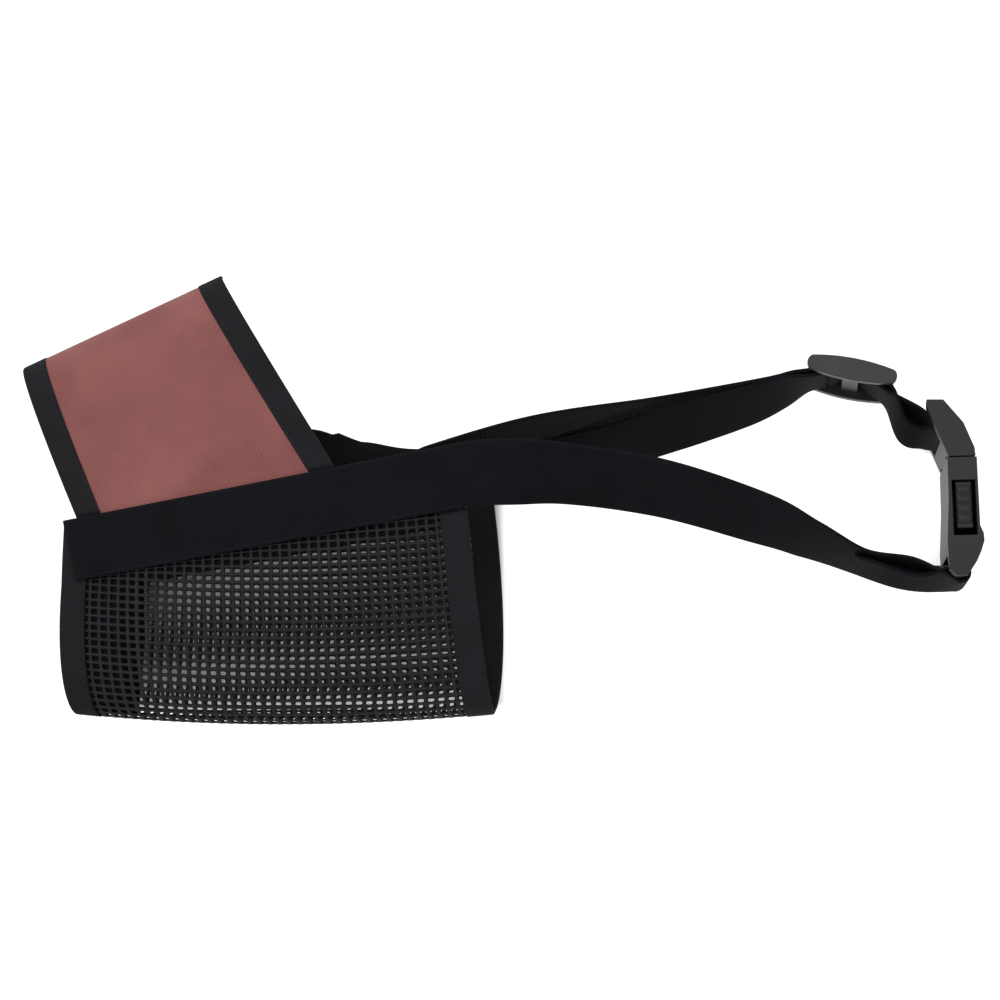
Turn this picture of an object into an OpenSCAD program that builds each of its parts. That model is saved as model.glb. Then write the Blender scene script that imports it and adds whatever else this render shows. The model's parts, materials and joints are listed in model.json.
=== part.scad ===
// Soft sewn muzzle lying on its right side, nose toward -X, nose bridge toward +Y.

/* [Webbing] */
// Width of the strap webbing
strap_w = 20; // [18:0.5:23]
// Thickness of the strap webbing
strap_t = 1.3; // [1:0.1:1.6]
// Slack between two sewn layers
lay = 0.3; // [0.25:0.05:0.45]

/* [Cloth] */
// Thickness of the nose cloth and of the mesh
cloth_t = 0.8; // [0.6:0.1:1.2]
// Thickness of the binding tape and the facings
tape_t = 0.6; // [0.4:0.1:0.9]
// Width of the binding tape on each face
tape_w = 8; // [6:0.5:10]
// Width of one mesh strand
strand_w = 1.8; // [1.2:0.1:2.4]

/* [Basket] */
// Length of the mesh along the jaw
mesh_len = 135; // [122:1:148]
// Drop from the side band to the jaw fold at mid length
jaw_drop = 65; // [54:1:74]
// Rise from the side band to the front end of the nose fold
nose_rise = 67.5; // [58:0.5:76]
// Length of the nose fold
nose_len = 73; // [64:1:82]
// Slope of the nose fold in degrees
nose_slope = 21.9; // [16:0.1:27]
// How far the nose cloth stands forward of the mesh
nose_reach = 24; // [18:1:30]
// Slope of the side band in degrees
band_slope = 8; // [5:0.5:11]
// Half depth of the basket at its rear rim
depth_rear = 18.5; // [16:0.5:22]
// Half depth of the basket at its front
depth_front = 12.5; // [10:0.5:15]
// How far the lower side has rolled toward the nose bridge
roll = 10; // [6:0.5:13]
// How much further the lower band is hitched up behind the nose panel
hitch = 12; // [6:0.5:14]
// Depth of the facing inside the front of the mesh
facing_w = 17; // [12:1:22]

/* [Neck strap] */
// Distance from the rear rim to the middle of the buckle
neck_reach = 141; // [128:1:154]
// Length of each strap root
root_len = 24; // [20:1:30]
// Length of the sewn-back end at the socket
sewn_len = 24; // [16:1:30]
// Length of the free tail
tail_len = 122; // [80:1:124]

/* [Buckle] */
// Thickness of the buckle
buckle_t = 8.4; // [7.6:0.1:9.6]
// Length of the socket from its mouth to its bar
socket_len = 33.5; // [31:0.5:37]
// Radius of each strap bar
bar_r = 1.8; // [1.5:0.1:2.2]
// Width of the rails beside the webbing
rail_w = 3.6; // [3:0.1:4.4]
// Wall of the socket
wall = 1.4; // [1.2:0.1:1.8]
// Length of the prongs
prong_len = 20.5; // [18:0.5:22]
// Distance from the socket's mouth to its side windows
mouth_len = 6.8; // [5.5:0.1:8]

/* [Slider] */
// How far the slider stands behind the socket's mouth
slider_back = 30.7; // [28:0.1:36]
// How far the slider stands above the socket's mouth
slider_rise = 28.4; // [25:0.1:31]
// Length of the slider along the strap
slider_len = 27; // [25:0.5:30]
// Thickness of its bars
slider_bar = 1.6; // [1.2:0.1:2]

/* [Hidden] */
$fn = 40;
half = cloth_t / 2;
out_d = half + lay;
band_d = out_d + strap_t;
tape_d = out_d + tape_t;
rim_x = -2;
mesh_x0 = rim_x - mesh_len;
seat_x = mesh_x0 + 77;
nose_x0 = mesh_x0 - nose_reach;
band_x0 = mesh_x0 + 1.6;
band_x1 = rim_x - 4;
band_y0 = -13.2;
band_k = tan(band_slope);
edge_y = (strap_w / 2 + lay) / cos(band_slope);
nose_k = tan(nose_slope);
seam_gap = 1;
nose_x1 = nose_x0 + nose_len * cos(nose_slope);
jaw_bow = 4.2;
buckle_w = strap_w + 2 * rail_w + 0.8;
mid_z = buckle_w / 2;
bx = rim_x + neck_reach;
by = 7.2;
bt = buckle_t / 2;
loop_r = bar_r + lay + strap_t / 2;
cut_r = bar_r + 2 * lay + strap_t + 0.2;
sep = strap_t + lay;
socket_bar = [bx - 1.8, by - socket_len];
plug_bar = [bx - 3.9, by + 9.6];
slider_c = [bx - slider_back, by + slider_rise];
slider_a = -13.8;
slot_z = strap_w / 2 + 0.4;
frame_x = (nose_x0 + bx + bt) / 2 - 0.15;
frame_y = (band_y(nose_x0) + nose_rise + (nose_x1 - nose_x0) * nose_k + jaw_y(seat_x)) / 2 + 0.62;
home = [-frame_x, -frame_y, 0];

function mix(a, b, t) = a + (b - a) * t;
function unit(v) = v / norm(v);
function turned(f) = [for (k = [len(f) - 1:-1:0]) f[k]];
function ease(t) = let (q = max(0, min(1, t))) q * q * (3 - 2 * q);

// Plan lines of the basket: side band, nose fold and jaw fold
function band_y(x) = band_y0 + (x - mesh_x0 - 4.2) * band_k;
function fold_y(x) = band_y(nose_x0) + nose_rise + (x - nose_x0) * nose_k;
function jaw_y(x) = band_y(seat_x) - jaw_drop + jaw_bow * pow((x - seat_x) / 77, 2);
function deep(x) = mix(depth_rear, depth_front, (rim_x - x) / mesh_len);

// Point of the basket skin over plan x, y: a half ellipse above the band and one below it,
// side 1 is the upper face and -1 the lower, d is the distance outward from the cloth's middle
function skin(x, y, side, d) =
  let (m = band_y(x))
  let (a = y >= m ? fold_y(x) - m : m - jaw_y(x))
  let (b = deep(x))
  let (c = max(-1, min(1, (y - m) / a)))
  let (s = side * sqrt(1 - c * c))
  let (n = sqrt(b * b * c * c + a * a * s * s))
  let (h = pow(max(0, min(1, (seat_x + 40 - x) / 36)), 2) * ease((x - seat_x + 50) / 54))
  let (r = side < 0 ? -s * (roll * b / depth_rear + hitch * h) : 0)
  [x, m + a * c + d * b * c / n + r, b + band_d + b * s + d * a * s / n];

// Rows of the nose cloth run from the left seam over the fold to the right seam
nose_n = 8;
function nose_plan(u, k) =
  let (fx = mix(nose_x0, nose_x1, u))
  let (ex = mix(nose_x0 + 26.4, nose_x1 + 43.8, u))
  let (sx = mix(nose_x0 + 31.5, nose_x1 + 50.3, u))
  k > nose_n ? [sx, band_y(sx) + seam_gap]
  : mix([fx, fold_y(fx)], [ex, band_y(ex) + edge_y], pow(k / nose_n, 1.6));
function nose_pt(u, j, d) =
  let (p = nose_plan(u, abs(j)))
  let (a = skin(p.x, p.y, 1, d))
  let (x = p.x - 0.88 * (skin(p.x, p.y, -1, d).y - a.y))
  j < 0 ? a : skin(x, p.y + band_y(x) - band_y(p.x), -1, d);
function nose_grid(d) = [for (i = [0:12]) [for (j = [-nose_n - 1:nose_n + 1]) nose_pt(i / 12, j, d)]];
function nose_row(k) = norm(nose_plan(1, k) - nose_plan(0, k));

// Rows of the mesh run from the right seam under the jaw to the left seam
mesh_n = 7;
mesh_u = 20;
function mesh_plan(u, k) =
  let (gx = mix(mesh_x0, rim_x, u))
  let (ex = mix(mesh_x0, rim_x - 5.5, u))
  k > mesh_n + 1 ? [ex, band_y(ex) + edge_y - 2 * lay]
  : k > mesh_n ? [ex, band_y(ex) - seam_gap]
  : mix([gx, jaw_y(gx)], [ex, band_y(ex) - edge_y], pow(k / mesh_n, 1.3));
function mesh_pt(u, j, d) = let (p = mesh_plan(u, abs(j))) skin(p.x, p.y, j > 0 ? 1 : -1, d);
function mesh_grid(d) = [for (i = [0:mesh_u])
  [for (j = [-mesh_n - 1:mesh_n + 1]) mesh_pt(i / mesh_u, j, d)]];
function mesh_row(k) = norm(mesh_plan(1, k) - mesh_plan(0, k));

// Closed sheet between two grids of points; eu, ev above 0 leave a gap in every inner cell
module sheet(A, B, eu = 0, ev = 0) {
  n = len(A) - 1;
  m = len(A[0]) - 1;
  g = (n + 1) * (m + 1);
  cells = eu > 0 ? [for (i = [0:n - 1]) for (j = [1:m - 2]) [i, j]] : [];
  function at(i, j) = i * (m + 1) + j;
  function hole(G, i, j, a, b) =
    mix(mix(G[i][j], G[i + 1][j], a), mix(G[i][j + 1], G[i + 1][j + 1], a), b);
  function corners(G, i, j) = [hole(G, i, j, eu, ev), hole(G, i, j, eu, 1 - ev),
    hole(G, i, j, 1 - eu, 1 - ev), hole(G, i, j, 1 - eu, ev)];
  function ring(i, j) = [at(i, j), at(i, j + 1), at(i + 1, j + 1), at(i + 1, j)];
  function quad(a, b, c, d) = [[a, b, c], [a, c, d]];
  open = [for (q = [0:1:len(cells) - 1]) let (r = ring(cells[q][0], cells[q][1])) let (h = 2 * g + 8 * q)
    for (k = [0:3]) let (l = (k + 1) % 4)
      each concat(quad(r[k], r[l], h + l, h + k), quad(g + r[l], g + r[k], h + 4 + k, h + 4 + l),
        quad(h + k, h + l, h + 4 + l, h + 4 + k))];
  whole = [for (i = [0:n - 1]) for (j = [0:m - 1]) if (eu == 0 || j == 0 || j == m - 1)
    let (r = ring(i, j))
    each concat(quad(r[0], r[1], r[2], r[3]), quad(g + r[3], g + r[2], g + r[1], g + r[0]))];
  ends = [for (j = [0:m - 1]) each concat(quad(at(0, j + 1), at(0, j), g + at(0, j), g + at(0, j + 1)),
    quad(at(n, j), at(n, j + 1), g + at(n, j + 1), g + at(n, j)))];
  sides = [for (i = [0:n - 1]) each concat(quad(at(i, 0), at(i + 1, 0), g + at(i + 1, 0), g + at(i, 0)),
    quad(at(i + 1, m), at(i, m), g + at(i, m), g + at(i + 1, m)))];
  rims = [for (c = cells) each concat(corners(A, c[0], c[1]), corners(B, c[0], c[1]))];
  polyhedron(points = concat([for (r = A) each r], [for (r = B) each r], rims),
    faces = concat(open, whole, ends, sides));
}

// Closed tube through a list of equal profiles
module tube(S, cap, flip = false) {
  m = len(S[0]);
  n = len(S);
  walls = [for (i = [0:n - 2]) for (c = [0:m - 1]) let (d = (c + 1) % m)
    each [[i * m + c, (i + 1) * m + c, (i + 1) * m + d], [i * m + c, (i + 1) * m + d, i * m + d]]];
  far = [for (t = cap) [for (k = turned(t)) (n - 1) * m + k]];
  all = concat(walls, cap, far);
  polyhedron(points = [for (s = S) each s], faces = flip ? [for (t = all) turned(t)] : all);
}

// Tape folded over an edge: f gives the point at distance w inside the edge, row j, offset d
flat_cap = [[0, 1, 2], [0, 2, 3]];
fold_cap = [[0, 1, 2], [0, 2, 7], [2, 3, 6], [2, 6, 7], [3, 4, 5], [3, 5, 6]];
tape_ends = [[tape_w, out_d], [tape_w, tape_d], [-lay - tape_t, tape_d], [-lay - tape_t, -tape_d],
  [tape_w, -tape_d], [tape_w, -out_d], [-lay, -out_d], [-lay, out_d]];
module nose_tape(rear) {
  S = [for (j = [-nose_n:nose_n]) let (l = nose_row(abs(j)))
    [for (e = tape_ends) nose_pt(rear ? 1 - e[0] / l : e[0] / l, j, e[1])]];
  tube(S, fold_cap, !rear);
}
module mesh_tape(rear) {
  low = [for (k = [0:mesh_n - 1]) k];
  top = rear ? [mesh_n] : [mesh_n - 0.2, mesh_n, mesh_n + 1];
  rows = concat(-turned(top), [for (k = [1 - mesh_n:-1]) k], low, top, rear ? [] : [mesh_n + 2]);
  S = [for (j = rows) let (l = mesh_row(abs(j)))
    [for (e = tape_ends)
      let (w = rear || abs(j) < mesh_n ? e[0] : min(e[0], 1))
      mesh_pt(rear ? 1 - w / l : w / l, j, e[1])]];
  tube(S, fold_cap, !rear);
}

// Strip along the side seam between two distances from its line
module seam_strip(side, x0, x1, low, high, d0, d1) {
  nx = 16;
  function at(i, j, d) = let (x = mix(x0, x1, i / nx))
    let (q = j / 4) skin(x, band_y(x) + mix(side > 0 ? low : high, side > 0 ? high : low, q), side, d);
  function grid(d) = [for (i = [0:nx]) [for (j = [0:4]) at(i, j, d)]];
  sheet(grid(max(d0, d1)), grid(min(d0, d1)));
}

// Smooth path through control points [x, y, z, twist]
function bend(P, t) =
  let (i = max(0, min(floor(t), len(P) - 2)))
  let (f = t - i)
  let (a = P[max(i - 1, 0)])
  let (b = P[i])
  let (c = P[i + 1])
  let (d = P[min(i + 2, len(P) - 1)])
  0.5 * (2 * b + (c - a) * f + (2 * a - 5 * b + 4 * c - d) * f * f + (3 * b - a - 3 * c + d) * f * f * f);
function spot(p) = [p.x, p.y, p.z];
function run(S, i) = unit(spot(S[min(i + 1, len(S) - 1)]) - spot(S[max(i - 1, 0)]));
function across(t) = unit([-t.y, t.x, 0]);

// Flat webbing along stations; a twist of 0 lies flat and 90 stands on edge
module ribbon(S) {
  P = [for (i = [0:len(S) - 1]) let (t = run(S, i)) let (h = across(t)) let (v = cross(t, h))
    let (w = (cos(S[i][3]) * h + sin(S[i][3]) * v) * strap_w / 2)
    let (n = (cos(S[i][3]) * v - sin(S[i][3]) * h) * strap_t / 2) let (c = spot(S[i]))
    [c - w - n, c + w - n, c + w + n, c - w + n]];
  tube(P, flat_cap);
}
function arc(c, r, a0, a1, n) = [for (k = [0:n]) let (a = mix(a0, a1, k / n))
  [c.x + r * cos(a), c.y + r * sin(a), mid_z, 90]];
function beside(S, i, o) =
  let (h = across(run(S, i)))
  [S[i].x + h.x * o, S[i].y + h.y * o, S[i].z, S[i][3]];

// Left strap: from the end of the left band to the socket's bar
left_in = -12;
left_from = skin(band_x1, band_y(band_x1), 1, out_d + strap_t / 2);
left_to = [socket_bar.x + loop_r * cos(left_in - 90), socket_bar.y + loop_r * sin(left_in - 90), mid_z];
function left_at(f, g, h, a) = [mix(left_from.x, left_to.x, f), mix(left_from.y, left_to.y, g),
  mix(left_from.z, left_to.z, h), a];
left_path = [left_at(0, 0, 0, 2), left_at(0.08, -0.006, 0.02, 12), left_at(0.2, 0.012, 0.137, 34),
  left_at(0.4, 0.138, 0.333, 42), left_at(0.6, 0.39, 0.57, 53), left_at(0.7, 0.57, 0.72, 67),
  left_at(0.8, 0.755, 0.9, 80), left_at(0.9, 0.88, 1, 86), left_at(0.97, 0.962, 1, 89),
  left_at(1, 1, 1, 90)];
left_t = 1 + (root_len - 0.08 * (left_to.x - left_from.x)) / (0.12 * (left_to.x - left_from.x));
function left_run(t0, t1, n) = [for (i = [0:n]) bend(left_path, mix(t0, t1, i / n))];

// Right strap: from the end of the right band to the slider and the plug's bar
right_in = -37;
right_from = skin(band_x1, band_y(band_x1), -1, out_d + strap_t / 2);
plug_to = [plug_bar.x + loop_r * cos(right_in - 90), plug_bar.y + loop_r * sin(right_in - 90), mid_z, 90];
side_n = slider_bar / 2 + 0.2 + lay + strap_t / 2;
end_u = slider_len / 2 - 1.4;
function slid(u, n) = [slider_c.x + u * cos(slider_a) - n * sin(slider_a),
  slider_c.y + u * sin(slider_a) + n * cos(slider_a), mid_z, 90];
right_to = slid(-end_u, -side_n - sep);
function right_at(f, g, h, a) = [mix(right_from.x, right_to.x, f), mix(right_from.y, right_to.y, g),
  mix(right_from.z, mid_z, h), a];
sag_to = mix(slid(end_u, -side_n - sep), plug_to, 0.5) - [-0.6, 0.6, 0, 23];
right_path = [right_at(0, 0, 0, 0), right_at(0.08, 0, 0.2, 0), right_at(0.22, -0.01, 0.54, 46),
  right_at(0.366, 0.115, 0.75, 59), right_at(0.516, 0.29, 0.88, 62), right_at(0.664, 0.47, 0.97, 65),
  right_at(0.82, 0.69, 1, 71), right_at(0.92, 0.875, 1, 79), right_to, slid(-end_u / 2, -sep / 2),
  slid(0, side_n), slid(end_u / 2, -sep / 2), slid(end_u, -side_n - sep - 0.4),
  sag_to, mix(sag_to, plug_to, 0.55) + [0, 0, 0, 6.5], plug_to];
right_t = 1 + (root_len - 0.08 * (right_to.x - right_from.x)) / (0.14 * (right_to.x - right_from.x));
function right_run(t0, t1, n) = [for (i = [0:n]) bend(right_path, mix(t0, t1, i / n))];

module nose_panel() color("#8a4444") translate(home) sheet(nose_grid(half), nose_grid(-half));
module nose_front_binding() color("#222428") translate(home) nose_tape(false);
module nose_rear_binding() color("#222428") translate(home) nose_tape(true);

module mesh_basket() color("#303236") translate(home) {
  eu = strand_w / 2 / (mesh_len / mesh_u);
  sheet(mesh_grid(half), mesh_grid(-half), eu, eu * 0.8);
}
module mesh_front_binding() color("#222428") translate(home) mesh_tape(false);
module mesh_rear_binding() color("#222428") translate(home) mesh_tape(true);

module left_side_band() color("#1b1b20") translate(home)
  seam_strip(1, band_x0, band_x1, -strap_w / 2, strap_w / 2, out_d, band_d);
module right_side_band() color("#1b1b20") translate(home)
  seam_strip(-1, band_x0, band_x1, -strap_w / 2, strap_w / 2, out_d, band_d);

facing_x0 = mesh_x0 + tape_w + lay;
facing_x1 = facing_x0 + facing_w;
facing_x2 = rim_x - 5.5 - tape_w - lay;
module left_seam_facing() color("#26272b") translate(home)
  seam_strip(1, facing_x1 + lay, facing_x2 - 1, -strap_w / 2 - 4.5, strap_w / 2 - 1, -out_d, -tape_d);
module right_seam_facing() color("#26272b") translate(home)
  seam_strip(-1, facing_x1 + lay, facing_x2 - 1, -strap_w / 2 - 4.5, strap_w / 2 - 1, -out_d, -tape_d);
module front_chin_facing() {
  function grid(d) = [for (i = [0:3]) [for (j = [-mesh_n:mesh_n])
    mesh_pt((tape_w + lay + facing_w * i / 3) / mesh_row(abs(j)), j, d)]];
  color("#26272b") translate(home) sheet(grid(-out_d), grid(-tape_d));
}

module left_strap_root() color("#1b1b20") translate(home + [lay, 0, 0]) ribbon(left_run(0, left_t, 8));
module left_neck_strap() color("#1b1b20") translate(home) {
  go = left_run(left_t + 0.05, 9, 36);
  back = [for (i = [34:-1:1]) if (left_to.x - go[i].x < sewn_len)
    beside(go, i, sep + (2 * loop_r - sep) * (1 - ease((left_to.x - go[i].x) / 20)))];
  ribbon(concat(go, arc(socket_bar, loop_r, left_in - 75, left_in + 90, 10), back));
}
module right_strap_root() color("#1b1b20") translate(home + [lay, 0, 0]) ribbon(right_run(0, right_t, 8));
module right_neck_strap() color("#1b1b20") translate(home) ribbon(right_run(right_t + 0.05, 7.36, 24));
module adjuster_strap() {
  go = right_run(7.44, 15, 60);
  back = [for (i = [59:-1:5])
    beside(go, i, sep + (2 * loop_r - sep) * (1 - ease((plug_to.x - go[i].x) / 9)))];
  last = back[len(back) - 1];
  function tail_at(f, rise, lift, a) = [last.x - tail_len * f, last.y + rise - tail_len * f * 0.185,
    mid_z + lift, a];
  tail = [last, tail_at(0.045, 0.2, 0, 93), tail_at(0.12, -0.3, 0, 96), tail_at(0.4, 1, 1, 95),
    tail_at(0.7, 0.3, 14.4, 92), tail_at(1, -2.2, 13, 91)];
  free = [for (i = [1:26]) bend(tail, 5 * i / 26)];
  turn = arc(plug_bar, loop_r, right_in - 75, right_in + 90, 10);
  color("#1b1b20") translate(home) ribbon(concat(go, turn, back, free));
}

// Buckle: drawn in plan from the mouth of the socket and raised to its width
module raised(z0, z1) translate([bx, by, z0]) linear_extrude(z1 - z0) children();
module bar_hole(c, a, more = 0) translate([c.x, c.y, mid_z - slot_z]) rotate([0, 0, a]) {
  cylinder(r = cut_r + more / 10, h = 2 * slot_z);
  translate([0, -cut_r - more, 0]) cube([7 + more, 2 * cut_r + more, 2 * slot_z]);
}
module bar(c) translate([c.x, c.y, rail_w - 0.6]) cylinder(r = bar_r, h = buckle_w - 2 * rail_w + 1.2);
prong_z = mid_z - wall - 3.3;
root_y = by - 0.6;
tongue_t = buckle_t - 2 * wall - 1;

module buckle_socket() color("#3a3c40") translate(home) {
  deep_y = by - prong_len - 3.4;
  difference() {
    raised(0, buckle_w) polygon([[-bt, 0], [bt, 0], [bt, -20.5], [bt + 0.9, -22.8], [bt + 1, -25],
      [bt, -28], [bt - 1.4, -31], [1.4, 0.4 - socket_len], [0, -socket_len - 1.5],
      [-3.2, -socket_len - 1.6], [-5.1, 0.4 - socket_len], [-5.3, -25], [-bt - 0.2, -12]]);
    translate([bx - bt + wall, deep_y, wall])
      cube([buckle_t - 2 * wall, by - deep_y + 1, buckle_w - 2 * wall]);
    translate([bx - bt + 0.8, deep_y + 0.6, -1])
      cube([buckle_t - 1.6, by - mouth_len - deep_y - 0.6, buckle_w + 2]);
    bar_hole(socket_bar, 180 + left_in);
  }
  bar(socket_bar);
}
module buckle_plug() color("#3a3c40") translate(home) {
  difference() {
    union() {
      raised(0, buckle_w) polygon([[-bt + 0.3, 0.4], [bt - 0.3, 0.4], [bt - 0.5, 2.8], [0.9, 10.4],
        [-4.6, 17.6], [-9.4, 17.8], [-9.5, 15.6]]);
      translate([bx - tongue_t / 2, by - prong_len + 3, mid_z - 4]) cube([tongue_t, prong_len - 1, 8]);
    }
    bar_hole(plug_bar, 180 + right_in, 6);
    for (s = [-1, 1]) translate([bx - bt, root_y, mid_z + s * prong_z]) rotate([0, 90, 0])
      cylinder(r = 2, h = buckle_t);
  }
  bar(plug_bar);
}
module prong() {
  z0 = prong_z - 1.5;
  tip = root_y - prong_len;
  translate([bx - tongue_t / 2, root_y, prong_z]) rotate([0, 90, 0]) cylinder(r = 1.5, h = tongue_t);
  translate([bx - tongue_t / 2, tip, z0]) cube([tongue_t, prong_len, 3]);
  translate([bx - tongue_t / 2, tip, z0]) cube([tongue_t, prong_len - mouth_len, mid_z - 0.5 - z0]);
}
module upper_prong() color("#2c2d31") translate(home + [0, 0, mid_z]) prong();
module lower_prong() color("#2c2d31") translate(home + [0, 0, mid_z]) mirror([0, 0, 1]) prong();

module strap_slider() color("#46474b")
  translate(home + [slider_c.x, slider_c.y, mid_z]) rotate([0, 0, slider_a]) {
  rail = 2.6;
  for (s = [-1, 1]) translate([0, 0, s * (slot_z + rail / 2) - rail / 2])
    linear_extrude(rail) intersection() {
      translate([0, -57]) circle(r = 60.4, $fn = 200);
      translate([0, 57]) circle(r = 60.4, $fn = 200);
      union() {
        square([slider_len - 5, 8], center = true);
        for (e = [-1, 1]) translate([e * (slider_len / 2 - 2.5), 0]) circle(r = 2.5);
      }
    }
  for (u = [-end_u, end_u]) translate([u, 0, -slot_z - 1])
    cylinder(r = slider_bar / 2, h = 2 * slot_z + 2);
  translate([-2.5, 0.3 - slider_bar, -slot_z - 1]) cube([5, slider_bar, 2 * slot_z + 2]);
}

nose_panel();
nose_front_binding();
nose_rear_binding();
mesh_basket();
mesh_front_binding();
mesh_rear_binding();
left_side_band();
right_side_band();
left_seam_facing();
right_seam_facing();
front_chin_facing();
left_strap_root();
right_strap_root();
left_neck_strap();
right_neck_strap();
adjuster_strap();
buckle_socket();
buckle_plug();
upper_prong();
lower_prong();
strap_slider();
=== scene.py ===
import json
import bmesh
import bpy
import numpy as np
from mathutils import Matrix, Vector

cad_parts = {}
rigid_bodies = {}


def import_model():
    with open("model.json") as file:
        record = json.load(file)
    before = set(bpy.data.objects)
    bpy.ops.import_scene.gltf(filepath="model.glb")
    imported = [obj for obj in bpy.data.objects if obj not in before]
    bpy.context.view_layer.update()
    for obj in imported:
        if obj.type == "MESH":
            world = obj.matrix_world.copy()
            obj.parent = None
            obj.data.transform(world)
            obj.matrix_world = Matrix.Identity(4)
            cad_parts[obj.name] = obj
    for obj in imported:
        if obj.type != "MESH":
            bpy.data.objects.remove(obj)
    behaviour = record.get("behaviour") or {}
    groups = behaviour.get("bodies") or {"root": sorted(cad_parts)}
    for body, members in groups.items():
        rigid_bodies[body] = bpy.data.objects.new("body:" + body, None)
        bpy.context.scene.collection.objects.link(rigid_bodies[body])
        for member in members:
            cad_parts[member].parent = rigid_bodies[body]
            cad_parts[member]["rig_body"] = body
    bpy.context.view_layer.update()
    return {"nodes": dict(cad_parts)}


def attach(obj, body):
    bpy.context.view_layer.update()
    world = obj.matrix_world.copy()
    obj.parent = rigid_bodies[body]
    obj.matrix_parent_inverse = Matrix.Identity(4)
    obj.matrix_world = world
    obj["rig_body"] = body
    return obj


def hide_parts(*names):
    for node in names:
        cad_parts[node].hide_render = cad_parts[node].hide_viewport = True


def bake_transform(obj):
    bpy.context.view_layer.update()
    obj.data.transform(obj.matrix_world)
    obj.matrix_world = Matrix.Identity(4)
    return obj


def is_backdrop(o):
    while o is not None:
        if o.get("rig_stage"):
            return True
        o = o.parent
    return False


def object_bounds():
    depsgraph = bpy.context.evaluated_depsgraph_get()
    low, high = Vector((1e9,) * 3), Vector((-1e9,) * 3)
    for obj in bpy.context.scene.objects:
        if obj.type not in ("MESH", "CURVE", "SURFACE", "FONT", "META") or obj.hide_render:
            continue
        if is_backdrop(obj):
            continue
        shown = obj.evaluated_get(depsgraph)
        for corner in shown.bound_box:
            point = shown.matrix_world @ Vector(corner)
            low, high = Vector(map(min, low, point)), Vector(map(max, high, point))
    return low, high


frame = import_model()
print("frame loaded, solids:", len(frame["nodes"]))

# Shared cut of the muzzle, in millimetres and degrees, as the solids have it
cut = {"strapW": 20.0, "strapT": 1.3, "lay": 0.3, "clothT": 0.8, "tapeT": 0.6, "tapeW": 8.0,
       "meshLen": 135.0, "jawDrop": 65.0, "jawBow": 4.2, "seatBack": 77.0, "noseRise": 67.5,
       "noseLen": 73.0, "noseSlope": 21.9, "noseReach": 24.0, "bandSlope": 8.0, "depthRear": 18.5,
       "depthFront": 12.5, "roll": 10.0, "hitch": 12.0, "facingW": 17.0, "neckReach": 141.0,
       "rootLen": 24.0, "sewnLen": 24.0, "tailLen": 122.0, "buckleRise": 7.2, "railW": 3.6,
       "railPlay": 0.8, "barR": 1.8, "socketLen": 33.5, "socketBack": 1.8, "plugRise": 9.6, "plugBack": 3.9,
       "sliderLen": 27.0, "sliderBar": 1.6, "sliderBack": 30.7, "sliderRise": 28.4, "sliderTurn": -13.8,
       "sliderEnd": 1.4, "sliderPlay": 0.2, "home": (9.05, -5.41811, 0.0)}
strapW, strapT, lay = cut["strapW"], cut["strapT"], cut["lay"]
outD = cut["clothT"] / 2 + lay
bandD = outD + strapT
tapeD = outD + cut["tapeT"]
tapeIn, tapeOut = 0.42, 0.68  # the tape is drawn close to the cloth it binds
rimX = -2.0
meshX0 = rimX - cut["meshLen"]
seatX = meshX0 + cut["seatBack"]
noseX0 = meshX0 - cut["noseReach"]
noseX1 = noseX0 + cut["noseLen"] * np.cos(np.radians(cut["noseSlope"]))
bandX0, bandX1, bandY0 = meshX0 + 0.4, rimX - 4, -13.2
bandK = np.tan(np.radians(cut["bandSlope"]))
noseK = np.tan(np.radians(cut["noseSlope"]))
edgeY = (strapW / 2 + lay) / np.cos(np.radians(cut["bandSlope"]))
seamGap = 1.0
noseN, meshN = 8, 7
bandLead = 4.2  # how far behind the mesh's front edge the band has its stated height
# The lower face is hitched up between two places behind and before the seat, each with a soft length
hitchAt = {"rear": 40.0, "rearSoft": 36.0, "front": 50.0, "frontSoft": 54.0}
# Where the nose cloth's two ends meet the band's edge and the seam, and how they curve and lean
noseCut = {"frontEdge": 26.4, "rearEdge": 43.8, "frontSeam": 31.5, "rearSeam": 50.3, "curve": 1.6, "lean": 0.88}
# The mesh's front edge bows forward and its lower rear edge backward; its rear end is cut back at the band
meshCut = {"frontBow": 2.4, "rearBow": 2.6, "bowTurn": 2.26, "bowPower": 0.6, "curve": 1.3, "cutBack": 5.5}


def mix(a, b, t):
    return a + (b - a) * t


def ease(t):
    q = np.clip(t, 0, 1)
    return q * q * (3 - 2 * q)


def unit(v):
    return v / np.linalg.norm(v, axis=-1, keepdims=True)


def bandY(x):
    return bandY0 + (x - meshX0 - bandLead) * bandK


def foldY(x):
    return bandY(noseX0) + cut["noseRise"] + (x - noseX0) * noseK


def jawY(x):
    return bandY(seatX) - cut["jawDrop"] + cut["jawBow"] * ((x - seatX) / cut["seatBack"]) ** 2


# Basket skin: half an ellipse from the band line up to the nose fold and half of one down to the jaw
# fold; side 1 is the upper face, -1 the lower one, which has rolled toward the nose; d goes outward
def skin(x, y, side, d):
    m = bandY(x)
    a = np.where(y >= m, foldY(x) - m, m - jawY(x))
    b = mix(cut["depthRear"], cut["depthFront"], (rimX - x) / cut["meshLen"])
    c = np.clip((y - m) / a, -1, 1)
    s = side * np.sqrt(1 - c * c)
    n = np.sqrt((b * c) ** 2 + (a * s) ** 2)
    h = np.clip((seatX + hitchAt["rear"] - x) / hitchAt["rearSoft"], 0, 1) ** 2
    h = h * ease((x - seatX + hitchAt["front"]) / hitchAt["frontSoft"])
    r = np.where(side < 0, -s * (cut["roll"] * b / cut["depthRear"] + cut["hitch"] * h), 0)
    return np.stack([x + 0 * c, m + a * c + d * b * c / n + r, b + bandD + b * s + d * a * s / n], -1)


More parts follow.
